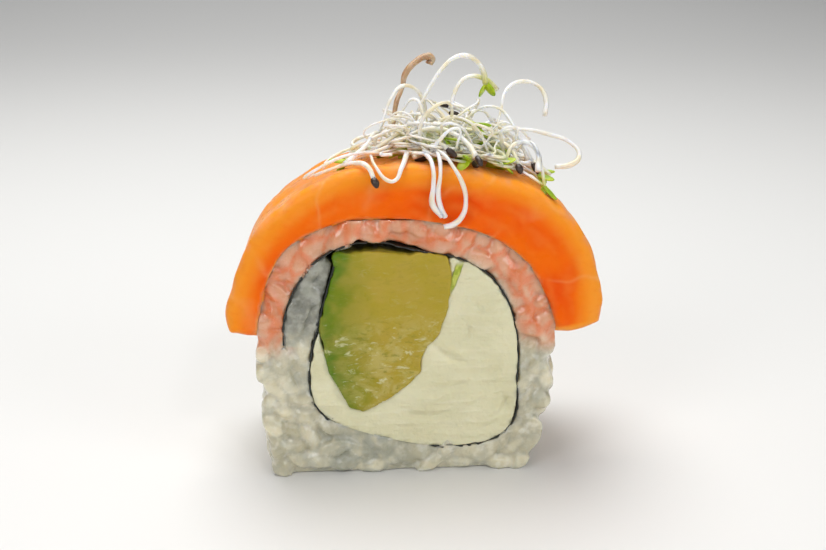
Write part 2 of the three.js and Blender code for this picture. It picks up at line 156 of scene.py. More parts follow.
# Sprouts in millimetres: each goes through its points, from its root to its leaf end
STEM_RADIUS = 0.42
FULLNESS = {"near": (0.76, 0.96), "loose": (0.36, 0.68)}
SPROUT_HEAP = {"x": 7.0, "y": 0.0, "half": (11.0, 8.5)}
LOOSE_SPROUTS = 205
LOOSE_STRIDE = 1.8
LOOSE_REACH_X = 20.5
LOOSE_REACH_Y = 10.2
LOOSE_STEPS = (5, 11)
LOOSE_ENDS = {"bare": 22, "leaves": 4.4, "hull": 1.2}
LOOSE_LAYERS = (0.2, 2.6)
HIGH_SHARE = 0.18
HIGH_RISE = (3.5, 6.5)
LOW_RISE = (0.3, 3.2)
TURN_BACK = {"x": 13, "y": 9.5, "force": 1.1}
WOBBLE = 0.32
SPROUTS = (
    ("leaves", (
        (1.7, 0, 44.2), (2.0, 0, 47.2), (2.9, 0, 49.7), (4.2, 0.5, 52.0), (5.9, 1, 54.3), (7.3, 1.5, 55.4),
        (8.9, 2, 55.7), (10.5, 2.5, 55.0), (11.7, 3, 53.3), (12.1, 3.6, 51.6),
    )),
    ("bare", (
        (-3.9, -3, 44.4), (-2.4, -2, 48.2), (-1.3, -1, 50.6), (0.1, 0, 51.9), (2.0, 1, 51.4),
        (3.2, 1.5, 49.6), (3.4, 2, 47.5), (3.2, 2, 45.4),
    )),
    ("hull", (
        (-12.0, -9, 41.7), (-9.9, -9.5, 42.6), (-6.7, -10.5, 43.6), (-5.1, -12.6, 43.4), (-4.5, -13.5, 42.2),
    )),
    ("bare", (
        (-4.6, -9, 44.2), (-4.1, -12.6, 43.4), (-2.8, -13.4, 41.9), (-1.8, -13.4, 41.8), (-0.9, -12.6, 43.2),
        (0.1, -9, 44.4),
    )),
    ("hull", (
        (-7.6, -7, 43.6), (-4.1, -7, 44.3), (-0.9, -6, 45.4), (1.6, -5, 46.5), (4.1, -6, 47.1),
        (6.3, -8, 46.8), (8.0, -10.5, 45.8), (8.8, -12.4, 44.5),
    )),
    ("bare", (
        (1.1, -8, 44.4), (2.7, -10.9, 44.4), (3.2, -13.0, 43.0), (3.2, -13.3, 40.9), (3.1, -13.3, 38.6),
        (4.4, -13.2, 36.9),
    )),
    ("bare", (
        (3.5, -8, 45.4), (4.1, -11.8, 44.3), (4.1, -13.2, 42.4), (3.8, -13.4, 40.1), (4.2, -13.3, 38.0),
        (4.8, -13.2, 36.8),
    )),
    ("bare", (
        (2.4, -8, 45.1), (4.6, -11.4, 44.8), (5.9, -13.1, 43.2), (7.0, -13.4, 41.1), (7.4, -13.4, 39.0),
        (7.0, -13.3, 37.0), (5.8, -13.2, 35.8), (4.6, -13.2, 35.5),
    )),
    ("bare", (
        (12.4, -2, 43.6), (13.8, 0, 48.4), (14.8, 2, 50.9), (16.9, 3, 51.9), (19.4, 3, 51.3), (20.4, 2, 49.5),
        (20.1, 1, 47.4),
    )),
    ("bare", (
        (11.0, -3, 45.4), (15.6, -4, 46.5), (19.6, -4, 45.8), (23.0, -4, 44.4), (23.9, -5, 43.0),
        (22.5, -6, 41.9), (20.4, -6, 41.7),
    )),
    ("bare", ((13.4, -9, 41.8), (13.7, -8, 44.2), (15.6, -7, 45.3), (17.4, -8, 44.4), (17.4, -10, 42.0))),
    ("bare", (
        (7.1, 1, 45.5), (7.1, 1, 47.9), (7.6, 2, 50.7), (9.4, 3, 52.6), (12.0, 4, 52.2), (14.0, 5, 50.5),
    )),
    ("leaves", ((4.4, -2, 46.8), (6.3, -3, 48.1), (7.9, -4, 48.0), (9.6, -5, 47.3))),
    ("bare", ((-1.6, -1, 45.0), (-3.5, -3, 46.2), (-5.2, -7, 45.1), (-8.0, -9.4, 43.2))),
    ("hull", ((9.5, 2, 44.5), (9.6, 1.6, 46.8), (8.0, 1.2, 48.6), (6.6, 1, 49.0))),
    ("hull", ((3.2, -9, 45.4), (4.4, -10, 45.8), (5.2, -10.4, 45.2))),
    ("hull", ((10.5, 1, 45.0), (9.5, 0.5, 47.2), (7.9, 0.2, 47.7))),
)
THICK_ROOT = (
    (-0.9, 2, 46.0), (-0.4, 2.6, 49.4), (0.4, 3, 51.2), (0.9, 3.5, 53.1), (2.3, 4, 54.6), (3.8, 4.5, 55.3),
    (4.6, 5, 55.0), (4.3, 5, 54.2),
)

SEED = 20240519


# Small tools for meshes


def piece_from(bm, name):
    """Turns a bmesh into a smooth-shaded object."""
    mesh = bpy.data.meshes.new(name)
    bm.to_mesh(mesh)
    bm.free()
    mesh.shade_smooth()
    piece = bpy.data.objects.new(name, mesh)
    bpy.context.scene.collection.objects.link(piece)
    return piece


def solid_copy(node):
    """A bmesh of a node with its corners joined, which may be reshaped."""
    bm = bmesh.new()
    bm.from_mesh(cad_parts[node].data)
    bmesh.ops.remove_doubles(bm, verts=bm.verts, dist=0.002 * MM)
    return bm


def tree_of(node):
    bm = solid_copy(node)
    tree = BVHTree.FromBMesh(bm)
    bm.free()
    return tree


def tree_of_piece(piece):
    bm = bmesh.new()
    bm.from_mesh(piece.data)
    tree = BVHTree.FromBMesh(bm)
    bm.free()
    return tree


def mesh_of_curve(curve):
    """A bmesh of a curve, which is used up."""
    drawn = bpy.data.objects.new(curve.name, curve)
    bpy.context.scene.collection.objects.link(drawn)
    shown = bpy.data.meshes.new_from_object(drawn.evaluated_get(bpy.context.evaluated_depsgraph_get()))
    bpy.data.objects.remove(drawn)
    bm = bmesh.new()
    bm.from_mesh(shown)
    bmesh.ops.remove_doubles(bm, verts=bm.verts, dist=0.001 * MM)
    return bm


def apply_modifiers(piece):
    """Makes what the modifiers show the piece's own mesh."""
    depsgraph = bpy.context.evaluated_depsgraph_get()
    shown = bpy.data.meshes.new_from_object(piece.evaluated_get(depsgraph))
    piece.modifiers.clear()
    piece.data = shown
    shown.shade_smooth()


def fine_copy(node, name, voxel, smoothing):
    """A copy of a node with small even faces and its edges rounded off."""
    piece = piece_from(solid_copy(node), name)
    remesh = piece.modifiers.new("remesh", "REMESH")
    remesh.mode = "VOXEL"
    remesh.voxel_size = voxel
    smooth = piece.modifiers.new("smooth", "SMOOTH")
    smooth.factor = 0.5
    smooth.iterations = smoothing
    apply_modifiers(piece)
    return piece


def raise_surface(piece, height):
    """Moves each vertex along its normal by height(place, normal)."""
    mesh = piece.data
    moved = [v.co + v.normal * height(v.co, v.normal) for v in mesh.vertices]
    for vertex, place in zip(mesh.vertices, moved):
        vertex.co = place
    mesh.update()


def paint(piece, name, value):
    """Stores value(place, normal) on every vertex, for a material to read."""
    attribute = piece.data.attributes.new(name, "FLOAT", "POINT")
    for vertex, item in zip(piece.data.vertices, attribute.data):
        item.value = value(vertex.co, vertex.normal)


def hug(piece, tree, reach, close, past=lambda place: OVERLAP):
    """Moves the surface towards a neighbour within reach, by close(place) where the two are nearest.

    It never goes further than past(place) beyond the neighbour's surface.
    """
    mesh = piece.data
    for vertex in mesh.vertices:
        nearest, _, _, distance = tree.find_nearest(vertex.co, reach)
        if nearest is not None and distance > 0.01 * MM:
            pull = close(vertex.co) * smoothstep(-reach, -0.3 * reach, -distance)
            vertex.co += (nearest - vertex.co) * (min(pull, distance + past(vertex.co)) / distance)
    mesh.update()


def ragged(mean, spread, size, seed):
    """A way that varies from place to place; mean, spread and size are in millimetres."""
    return lambda place: (mean + spread * noise_at(place, size * MM, seed)) * MM


def dragged(mean, spread, size, seed):
    """As ragged, but least inside the roll and most where the knife dragged the layers' edges together."""
    uneven = ragged(mean - 0.2, spread, size, seed)
    return lambda place: 0.2 * MM + uneven(place) * smoothstep(10.3 * MM, 11.6 * MM, abs(place.y))


def nori_hidden(place):
    """1 at the lower left, where rice and cream cheese have closed over the nori, and 0 away from it."""
    x, z = place.x / MM, place.z / MM
    return smoothstep(-11, -8.5, x) * smoothstep(3.8, 1.6, x) * smoothstep(11, 9, z)


def past_nori(place):
    return OVERLAP + HIDING_OVERLAP * nori_hidden(place)


def noise_at(place, size, seed=0.0, stretch=(1, 1, 1)):
    """Smooth noise from -1 to 1 with lumps of about the given size."""
    scaled = Vector(c / (size * s) for c, s in zip(place, stretch))
    return noise.noise(scaled + Vector((seed, 2 * seed, 3 * seed)))


def smoothstep(low, high, value):
    part = min(max((value - low) / (high - low), 0), 1)
    return part * part * (3 - 2 * part)


def on_cut_face(normal):
    """1 where the surface looks along the roll, 0 where it looks sideways."""
    return smoothstep(0.6, 0.95, abs(normal.y))


# Shader maths


class Value:
    """A number in a material: expressions on it add Math nodes."""

    def __init__(self, material, socket):
        self.material = material
        self.socket = socket

    def _math(self, operation, *numbers):
        node = self.material.node("ShaderNodeMath", {"operation": operation}, dict(enumerate(numbers)))
        return Value(self.material, node.outputs[0])

    def __add__(self, other):
        return self._math("ADD", self, other)

    def __sub__(self, other):
        return self._math("SUBTRACT", self, other)

    def __mul__(self, other):
        return self._math("MULTIPLY", self, other)

    def __pow__(self, other):
        return self._math("POWER", self, other)

    def sine(self):
        return self._math("SINE", self)

    def angle_over(self, other):
        return self._math("ARCTAN2", self, other)

    def between(self, low, high):
        """0 below low, 1 above high, and smooth in between; it falls where low is the higher."""
        settings = {"interpolation_type": "SMOOTHSTEP", "clamp": True}
        start, end = (low, high) if low < high else (high, low)
        targets = (0, 1) if low < high else (1, 0)
        inputs = {"Value": self, "From Min": start, "From Max": end}
        inputs |= {"To Min": targets[0], "To Max": targets[1]}
        ramp = self.material.node("ShaderNodeMapRange", settings, inputs)
        return Value(self.material, ramp.outputs["Result"])


class Finish:
    """A material built on one Principled shader."""

    def __init__(self, name, **uniform):
        self.material = bpy.data.materials.new(name)
        self.material.use_nodes = True
        self.tree = self.material.node_tree
        self.shader = self.tree.nodes["Principled BSDF"]
        for socket, value in uniform.items():
            self.shader.inputs[socket.replace("_", " ")].default_value = value
        self.place = self.node("ShaderNodeTexCoord").outputs["Object"]

    def node(self, kind, settings=None, inputs=None):
        node = self.tree.nodes.new(kind)
        for key, value in (settings or {}).items():
            setattr(node, key, value)
        for key, value in (inputs or {}).items():
            self.feed(node.inputs[key], value)
        return node

    def feed(self, socket, value):
        if isinstance(value, Value):
            self.tree.links.new(value.socket, socket)
        elif isinstance(value, bpy.types.NodeSocket):
            self.tree.links.new(value, socket)
        else:
            socket.default_value = value

    def axes(self):
        """The three coordinates in millimetres."""
        split = self.node("ShaderNodeSeparateXYZ", inputs={"Vector": self.place})
        return [Value(self, split.outputs[i]) * 1000 for i in range(3)]

    def noise(self, size, detail=2, stretch=(1, 1, 1), rough=0.5, distortion=0):
        """Noise from 0 to 1 with lumps of about the given size in millimetres."""
        mapping = self.node("ShaderNodeMapping", inputs={"Vector": self.place})
        mapping.inputs["Scale"].default_value = [1000 / (size * s) for s in stretch]
        inputs = {"Vector": mapping.outputs[0], "Scale": 1, "Detail": detail, "Roughness": rough}
        inputs["Distortion"] = distortion
        return Value(self, self.node("ShaderNodeTexNoise", {}, inputs).outputs["Fac"])

    def attribute(self, name):
        node = self.node("ShaderNodeAttribute", {"attribute_name": name})
        return Value(self, node.outputs["Fac"])

    def mix(self, amount, first, second):
        """A colour that goes from the first to the second."""
        settings = {"data_type": "RGBA", "clamp_factor": True}
        inputs = {0: amount, 6: self.colour(first), 7: self.colour(second)}
        return self.node("ShaderNodeMix", settings, inputs).outputs[2]

    @staticmethod
    def colour(value):
        return (*value, 1) if isinstance(value, tuple) and len(value) == 3 else value

    def dress(self, colour, roughness=None, height=None, depth=0.1):
        """Feeds the shader; depth is the relief's height in millimetres."""
        self.feed(self.shader.inputs["Base Color"], self.colour(colour))
        if roughness is not None:
            self.feed(self.shader.inputs["Roughness"], roughness)
        if height is not None:
            inputs = {"Height": height, "Distance": depth * MM, "Strength": 1}
            bump = self.node("ShaderNodeBump", inputs=inputs)
            self.feed(self.shader.inputs["Normal"], bump.outputs["Normal"])
        return self.material


def give(piece, material, slot, *nodes):
    """Dresses a piece, which stands for the CAD nodes that are named, if any."""
    piece.data.materials.clear()
    piece.data.materials.append(material)
    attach(piece, "root")
    if nodes:
        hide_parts(*nodes)
    return piece


# Salmon


def salmon_finish():
    finish = Finish(
        "raw_salmon",
        Subsurface_Weight=0.25,
        Subsurface_Radius=(1.0, 0.25, 0.05),
        Subsurface_Scale=1.6 * MM,
        Specular_IOR_Level=0.05,
        Coat_Weight=0.05,
        Coat_Roughness=0.18,
    )
    x, y, z = finish.axes()
    height = z - 20
    round_roll = height.angle_over(x) * 26
    outwards = (x * x + height * height) ** 0.5
    warp = finish.noise(10, detail=2) * 11
    muscle = (round_roll * 0.55 + outwards * 0.55 + warp + y * 0.2).sine()
    fat = (muscle * 0.5 + 0.5) ** 22 * finish.noise(7, detail=1).between(0.38, 0.6)
    deep = finish.noise(8, detail=2).between(0.35, 0.65)
    flesh = finish.mix(deep, (0.94, 0.155, 0.002), (0.86, 0.088, 0.001))
    rim = finish.attribute("rim")
    lighter = finish.mix(rim.between(0, 0.9), flesh, (0.97, 0.30, 0.018))
    paler = finish.mix(rim.between(0.75, 1) * 0.6, lighter, (0.97, 0.35, 0.035))
    streaks = finish.noise(1.6, detail=3, stretch=(1, 4, 1))
    skin = finish.attribute("outside") * streaks.between(0.35, 0.7) * 0.6
    skinned = finish.mix(skin, paler, (0.84, 0.33, 0.15))
    lined = finish.mix(fat * (finish.attribute("outside") * 0.36 + 0.24), skinned, (0.98, 0.45, 0.16))
    grain = (outwards * 2.6 + finish.noise(3.5, detail=3) * 9 + round_roll * 0.12).sine() * 0.5 + 0.5
    patchy = finish.noise(4, detail=2).between(0.4, 0.65)
    grained = finish.mix(grain * patchy * 0.22, lined, (0.99, 0.36, 0.06))
    wet_fibres = finish.noise(1.0, detail=4, stretch=(1.4, 1, 0.8))
    mottled = finish.mix(wet_fibres.between(0.48, 0.3) * 0.1, grained, (0.80, 0.08, 0.001))
    relief = fat * 0.4 + grain * 0.35 + finish.noise(2.2, detail=4) * 0.9 + wet_fibres * 0.4
    roughness = finish.noise(2, detail=3) * 0.4 + 0.12
    return finish.dress(mottled, roughness, relief, depth=0.2)


def shape_ends(piece):
    """The slab's right end is fuller and hangs lower than its side, and its left end is rounded off."""
    for vertex in piece.data.vertices:
        place = vertex.co
        x, z = place.x / MM, place.z / MM
        if x > 16:
            outer = smoothstep(18.5, 25, x)
            place.x += RIGHT_END_SWELL * outer * math.exp(-((z - 24.8) / 3.8) ** 2)
            place.z -= RIGHT_END_SAG * smoothstep(24.5, 20.5, z) * math.exp(-((x - 22.6) / 3.0) ** 2)
        if x < -20:
            place.x += LEFT_END_ROUND * smoothstep(25, 20.3, z) * smoothstep(-21, -24.8, x)
    piece.data.update()


def make_salmon(trees):
    piece = fine_copy("salmon", "salmon_slab", 0.36 * MM, 4)

    def height(place, normal):
        lumps = noise_at(place, 6 * MM, 1.3) * 0.34 * MM
        grooves = noise_at(place, 1.9 * MM, 4.1, (1, 6, 1)) * 0.12 * MM
        return (lumps + grooves) * (1 - 0.6 * on_cut_face(normal))

    def rim(place, normal):
        """1 at the outer side, falling to 0 about 3 mm inside the slab."""
        inside = Vector((place.x, max(min(place.y, 10 * MM), -10 * MM), place.z))
        outwards = Vector((inside.x, 0, inside.z - ROLL_CENTRE.z)).normalized()
        hit, _, _, distance = trees["salmon"].ray_cast(inside, outwards)
        return 1 if hit is None else smoothstep(-4.6 * MM, -0.1 * MM, -distance)

    shape_ends(piece)
    raise_surface(piece, height)
    hug(piece, trees["rice"], 1.7 * MM, dragged(0.6, 0.12, 3, 6.1))
    paint(piece, "rim", rim)
    paint(piece, "outside", lambda place, normal: 1 - on_cut_face(normal))
    return give(piece, salmon_finish(), "salmon", "salmon")


# Filling


def cheese_finish():
    finish = Finish(
        "cream_cheese",
        Subsurface_Weight=0.4,
        Subsurface_Radius=(1.0, 0.8, 0.5),
        Subsurface_Scale=1.2 * MM,
        Coat_Weight=0.12,
        Coat_Roughness=0.3,
    )
    smears = finish.noise(2.2, detail=5, stretch=(4, 1, 0.5))
    patches = finish.noise(5, detail=2).between(0.35, 0.65)
    base = finish.mix(patches, (0.77, 0.735, 0.50), (0.72, 0.685, 0.45))
    smeared = finish.mix(smears.between(0.5, 0.8) * 0.35, base, (0.88, 0.85, 0.66))
    x, _, z = finish.axes()
    beside = x - 5.3 - (z - 25.7) * 0.39 + finish.noise(1.2) * 0.8 - 0.4
    sliver = (beside * beside).between(0.34, 0.12) * z.between(25.4, 26.6) * z.between(30.4, 29.6)
    greens = finish.mix(finish.noise(1, detail=3).between(0.4, 0.6), (0.34, 0.42, 0.02), (0.55, 0.60, 0.10))
    colour = finish.mix(sliver, smeared, greens)
    lumps = finish.noise(0.7, detail=3) * 0.4
    relief = smears * 0.8 + lumps + finish.noise(2.4, detail=3) * 0.6 + sliver * 0.8
    return finish.dress(colour, finish.noise(2.5, detail=2) * 0.3 + 0.28, relief, depth=0.5)


def knife_marks(place):
    """How deep the knife has marked the cream cheese at a place."""
    depth = 0
    for x, z, half_length, half_width, deep, turn in CHEESE_MARKS:
        right, up = place.x / MM - x, place.z / MM - z
        along = (right * math.cos(turn) + up * math.sin(turn)) / half_length
        across = (up * math.cos(turn) - right * math.sin(turn) - 0.5 * along * along) / half_width
        depth += deep * math.exp(-along ** 2 - across ** 2)
    return depth * MM


def make_cream_cheese(trees):
    piece = fine_copy("cream_cheese", "cream_cheese_filling", 0.25 * MM, 3)
    uneven = dragged(0.38, 0.28, 1.3, 3.3)

    def cheese_to_nori(place):
        return uneven(place) + CHEESE_OVER_NORI * nori_hidden(place)

    hug(piece, trees["nori"], NORI_REACH, cheese_to_nori, past_nori)
    hug(piece, trees["avocado"], 1.1 * MM, dragged(0.36, 0.1, 2, 1.9))

    def height(place, normal):
        cut = on_cut_face(normal)
        smear = noise_at(place, 1.5 * MM, 2.2, (3, 1, 1)) * 0.16 * MM
        lumps = noise_at(place, 4.5 * MM, 7.7) * 0.26 * MM
        return (smear + lumps - knife_marks(place)) * cut

    raise_surface(piece, height)
    return give(piece, cheese_finish(), "cream_cheese", "cream_cheese")


def avocado_finish():
    finish = Finish(
        "avocado_flesh",
        Subsurface_Weight=0.3,
        Subsurface_Radius=(0.8, 1.0, 0.25),
        Subsurface_Scale=1.2 * MM,
        Specular_IOR_Level=0.16,
        Coat_Weight=0.12,
        Coat_Roughness=0.2,
    )
    x, y, z = finish.axes()
    wander = finish.noise(4, detail=3) * 2.6 - 1.3
    from_skin = (x + wander + z * 0.1).between(-9.2, -0.5)
    flesh = finish.mix(from_skin, (0.125, 0.215, 0.002), (0.44, 0.335, 0.032))
    skin_side = (x + wander * 0.6 - z.between(22, 12) * 2 - z.between(26, 30) * 2.5).between(-9.6, -11.4)
    greener = finish.mix(skin_side * 0.88, flesh, (0.075, 0.19, 0.002))
    cloudy = finish.noise(3.2, detail=2).between(0.4, 0.65) * 0.35
    varied = finish.mix(cloudy, greener, (0.50, 0.36, 0.07))
    lower = z.between(24, 19)
    patches = finish.noise(3.4, detail=5, stretch=(1.2, 1, 0.8), rough=0.65, distortion=0.5)
    softer = patches.between(0.44, 0.62) * lower * (from_skin * 0.75 + 0.15)
    pale = finish.mix(softer, varied, (0.54, 0.45, 0.14))
    fibres = finish.noise(0.9, detail=4, stretch=(1.7, 1, 0.8), rough=0.6, distortion=0.5)
    bright = finish.mix(fibres.between(0.56, 0.72) * (lower * 0.7 + 0.09), pale, (0.70, 0.69, 0.42))
    lined = finish.mix(fibres.between(0.44, 0.32) * (lower * 0.42 + 0.16), bright, (0.20, 0.22, 0.015))
    relief = fibres * (lower * 0.7 + 0.25) + patches * 0.8 + finish.noise(0.6, detail=2) * 0.2
    return finish.dress(lined, finish.noise(1.5, detail=3) * 0.35 + 0.16, relief, depth=0.35)


def void_over_avocado(place):
    """1 in the middle of the dark gap between the avocado's top and the nori, 0 away from it."""
    x, z = place.x / MM, place.z / MM
    return smoothstep(6.5, 2.5, abs(x + 4)) * smoothstep(29.5, 31.5, z)


def make_avocado(trees):
    piece = fine_copy("avocado", "avocado_wedge", 0.28 * MM, 3)
    hug(piece, trees["nori"], NORI_REACH, dragged(0.4, 0.22, 1.3, 5.1))
    for vertex in piece.data.vertices:
        place = vertex.co
        place.z -= AVOCADO_DROP * void_over_avocado(place)
        beyond = max(-9.8 * MM - place.x, 0) * smoothstep(28.8, 30, place.z / MM)
        place.x += 0.85 * beyond
    piece.data.update()

    def height(place, normal):
        cut = on_cut_face(normal)
        if cut == 0:
            return noise_at(place, 1.2 * MM, 9.2, (1, 3, 1)) * 0.2 * MM
        fibres = noise_at(place, 1.1 * MM, 5.5, (1.6, 1, 1)) * 0.16 * MM
        lumps = noise_at(place, 3.5 * MM, 3.9) * 0.2 * MM
        return (fibres + lumps) * cut

    raise_surface(piece, height)
    return give(piece, avocado_finish(), "avocado", "avocado")


# Nori


def nori_finish():
    finish = Finish("nori", Coat_Weight=0.25, Coat_Roughness=0.3)
    mottle = finish.noise(0.8, detail=3)
    colour = finish.mix(mottle.between(0.4, 0.7), (0.004, 0.007, 0.005), (0.014, 0.022, 0.013))
    return finish.dress(colour, 0.42, finish.noise(0.45, detail=3), depth=0.12)


def make_nori():
    """A thin sheet along its spiral, crinkled, with edges torn by the knife."""
    curve = bpy.data.curves.new("nori_line", "CURVE")
    curve.dimensions = "3D"
    curve.resolution_u = 18
    spline = curve.splines.new("BEZIER")
    spline.bezier_points.add(len(NORI_SPIRAL) - 1)
    for knot, (x, z) in zip(spline.bezier_points, NORI_SPIRAL):
        knot.co = Vector((x, NORI_ROWS[0], z)) * MM
        knot.handle_left_type = knot.handle_right_type = "AUTO"
    bm = mesh_of_curve(curve)
    row = list(bm.edges)
    for before, after in zip(NORI_ROWS, NORI_ROWS[1:]):
        made = bmesh.ops.extrude_edge_only(bm, edges=row)["geom"]
        row = [part for part in made if isinstance(part, bmesh.types.BMEdge)]
        moved = [part for part in made if isinstance(part, bmesh.types.BMVert)]
        bmesh.ops.translate(bm, verts=moved, vec=Vector((0, after - before, 0)) * MM)
    bmesh.ops.recalc_face_normals(bm, faces=bm.faces)
    piece = piece_from(bm, "nori_sheet")
    sheet = piece.modifiers.new("thickness", "SOLIDIFY")
    sheet.thickness = NORI_THICKNESS * MM
    sheet.offset = 0
    apply_modifiers(piece)
    for vertex in piece.data.vertices:
        place = vertex.co
        edge = max(abs(place.y) - NORI_TORN_FROM, 0) / (NORI_ROWS[-1] * MM - NORI_TORN_FROM)
        bitten = max(0.42 - 0.9 * noise_at(place, 0.9 * MM, 4.4, (1, 30, 1)), 0)
        torn = bitten + NORI_HIDDEN_DEPTH * nori_hidden(place)
        place.y -= math.copysign(edge * min(torn, NORI_TORN_MOST) * MM, place.y)
    raise_surface(piece, lambda place, normal: noise_at(place, 0.8 * MM, 8.8) * 0.09 * MM)
    return give(piece, nori_finish(), "nori", "nori")


# Rice


def rice_finish():
    finish = Finish(
        "wet_rice",
        Subsurface_Weight=0.75,
        Subsurface_Radius=(1.0, 0.85, 0.65),
        Subsurface_Scale=1.6 * MM,
        Coat_Weight=0.7,
        Coat_Roughness=0.09,
    )
    grain = finish.mix(finish.attribute("shade"), (0.51, 0.475, 0.33), (0.75, 0.70, 0.52))
    cloudy = finish.mix(finish.noise(1.4, detail=2).between(0.45, 0.7) * 0.35, grain, (0.86, 0.85, 0.74))
    # Painted shade: the rice is darkened where two grains meet, in the creases between them.
    crease_shaded = finish.mix(finish.attribute("crease_shade") * 0.34, cloudy, (0.38, 0.38, 0.30))
    glassy = finish.mix(finish.noise(2.6, detail=2).between(0.5, 0.34) * 0.3, crease_shaded, (0.40, 0.42, 0.36))
    starch = finish.mix(finish.noise(1.6, detail=2).between(0.56, 0.7) * 0.35, glassy, (0.92, 0.90, 0.82))
    x, _, z = finish.axes()
    # A darker, greyer patch low on the rice, left of the middle.
    low_left_patch = x.between(-15, -9) * x.between(3, -3) * z.between(9, 4.5) * finish.noise(2.4).between(0.3, 0.6)
    low_left_darkened = finish.mix(low_left_patch * 0.8, starch, (0.36, 0.37, 0.30))
    # Painted shade: the rice inside the fold of the nori, which the nori keeps from the light, is darkened to
    # a mottled grey.
    shadowed = finish.noise(1.4, detail=2).between(0.4, 0.62)
    fold_shade_colour = finish.mix(shadowed, (0.13, 0.14, 0.13), (0.32, 0.33, 0.29))
    fold_shaded = finish.mix(finish.attribute("fold_shade") * 0.78, low_left_darkened, fold_shade_colour)
    # Painted reflected light: the rice near the salmon is tinted pink, as if lit by light bounced off the
    # salmon.
    bounce_pinks = finish.mix(finish.attribute("shade"), (0.72, 0.22, 0.08), (0.78, 0.36, 0.20))
    bounce_tinted = finish.mix(finish.attribute("salmon_bounce") * 0.76, fold_shaded, bounce_pinks)
    # Painted shade: the creases between grains are darkened to a deep orange where the painted reflected
    # light from the salmon tints the rice.
    bounce_crease_shade = finish.attribute("crease_shade") * finish.attribute("salmon_bounce") * 0.6
    bounce_crease_shaded = finish.mix(bounce_crease_shade, bounce_tinted, (0.80, 0.17, 0.02))
    relief = finish.noise(0.9, detail=3)
    return finish.dress(bounce_crease_shaded, finish.noise(1.1, detail=3) * 0.35 + 0.1, relief, depth=0.09)


def side_at(side, height):
    """How far sideways the rice's outline lies at a height."""
    points = RICE_SIDES[side]
    z = height / MM
    for (low, first), (high, second) in zip(points, points[1:]):
        if z <= high:
            return (first + (second - first) * max(z - low, 0) / (high - low)) * MM
    return points[-1][1] * MM


def grain_shape():
    """One grain along Z, a little bent, with one end blunter than the other."""
    bm = bmesh.new()
    bmesh.ops.create_uvsphere(bm, u_segments=GRAIN_SEGMENTS, v_segments=GRAIN_RINGS, radius=0.5)
    for vertex in bm.verts:
        along = vertex.co.z
        fuller = 1 + 0.16 * math.sin(math.pi * (along + 0.3)) - 0.1 * along
        bend = 0.05 * (1 - 4 * along * along)
        vertex.co.x = vertex.co.x * GRAIN_WIDTH * fuller * 0.94 + bend * GRAIN_LENGTH
        vertex.co.y = vertex.co.y * GRAIN_WIDTH * fuller
        vertex.co.z = along * GRAIN_LENGTH
    mesh = bpy.data.meshes.new("grain")
    bm.to_mesh(mesh)
    bm.free()
    return mesh


def turned_to(along, spin):
    """The rotation that lays a piece's length along a direction."""
    return along.to_track_quat("Z", "Y").to_matrix().to_4x4() @ Matrix.Rotation(spin, 4, "Z")


class Scatter:
    """Seeded places that keep their distance from each other."""

    def __init__(self, spacing):
        self.spacing = spacing
        self.taken = []

    def accepts(self, place):
        if any((place - other).length < self.spacing for other in self.taken):
            return False
        self.taken.append(place)
        return True


def cut_face_grains(rng, side, trees):
    """Places, directions and thicknesses of the grains that show in one cut face."""
    scatter = Scatter(FACE_SPACING)
    for _ in range(GRAIN_TRIES):
        x, z = rng.uniform(-FACE_HALF_WIDTH, FACE_HALF_WIDTH) * MM, rng.uniform(*FACE_HEIGHTS) * MM
        hit, _, _, _ = trees["rice"].ray_cast(Vector((x, side * 30 * MM, z)), Vector((0, -side, 0)))
        if hit is None or abs(hit.y) < CUT_FACE_Y - FACE_RELIEF:
            continue
        place = Vector((x, side * (CUT_FACE_Y - rng.uniform(*GRAIN_DEPTH)), z))
        gap = min(trees["nori"].find_nearest(place)[3], trees["salmon"].find_nearest(place)[3] + 0.2 * MM)
        if gap < FACE_MARGIN:
            continue
        if z < SIDES_END and abs(x) > abs(side_at(math.copysign(1, x), z)) - FACE_SIDE_MARGIN:
            continue
        if scatter.accepts(place):
            fit = min(1, (gap + 0.3 * MM) / (0.5 * GRAIN_WIDTH))
            turn = math.atan2(z - ROLL_CENTRE.z, x) + math.pi / 2 + rng.gauss(0, 0.75) * fit ** 2
            along = Vector((math.cos(turn), rng.uniform(-CUT_FACE_TILT, CUT_FACE_TILT), math.sin(turn)))
            yield place, along, fit


def flank_grains(rng, trees):
    """Places, directions and thicknesses of the grains in the round outside, where no salmon covers it."""
    scatter = Scatter(FLANK_SPACING)
    for _ in range(GRAIN_TRIES):
        side = rng.choice((-1, 1))
        y, z = rng.uniform(-FLANK_HALF_LENGTH, FLANK_HALF_LENGTH) * MM, rng.uniform(*FLANK_HEIGHTS) * MM
        place = Vector((side_at(side, z) - side * rng.uniform(*FLANK_DEPTH) * MM, y, z))
        if trees["salmon"].find_nearest(place)[3] < SALMON_MARGIN:
            continue
        if scatter.accepts(place):
            turn = rng.uniform(0, math.pi)
            yield place, Vector((rng.uniform(-0.3, 0.3), math.cos(turn), math.sin(turn))), 1


def press(mesh, box):
    """The knife has pressed the cut faces flat, and the table the underside; the sides keep their outline."""
    low, high = box
    for vertex in mesh.vertices:
        place = vertex.co
        side = 1 if place.x > 0 else -1
        past_side = abs(place.x) - abs(side_at(side, place.z)) - SIDE_SLACK
        if place.z < SIDES_END and past_side > 0:
            place.x -= side * SIDE_HELD * past_side
        for axis, slack in ((0, 0), (1, FACE_SLACK), (2, 0)):
            over, under = place[axis] - (high[axis] - slack), (low[axis] + slack) - place[axis]
            if over > 0:
                place[axis] -= over * FACE_HELD if slack else over
            if under > 0:
                place[axis] += under * FACE_HELD if slack else under


def pare(bm):
    """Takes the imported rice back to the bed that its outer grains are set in."""
    for vertex in bm.verts:
        place = vertex.co
        place.y = max(min(place.y, CORE_Y), -CORE_Y)
        side = 1 if place.x > 0 else -1
        limit = abs(side_at(side, place.z)) - SIDE_BED
        if place.z < SIDE_BED_TOP and abs(place.x) > limit:
            place.x = side * limit


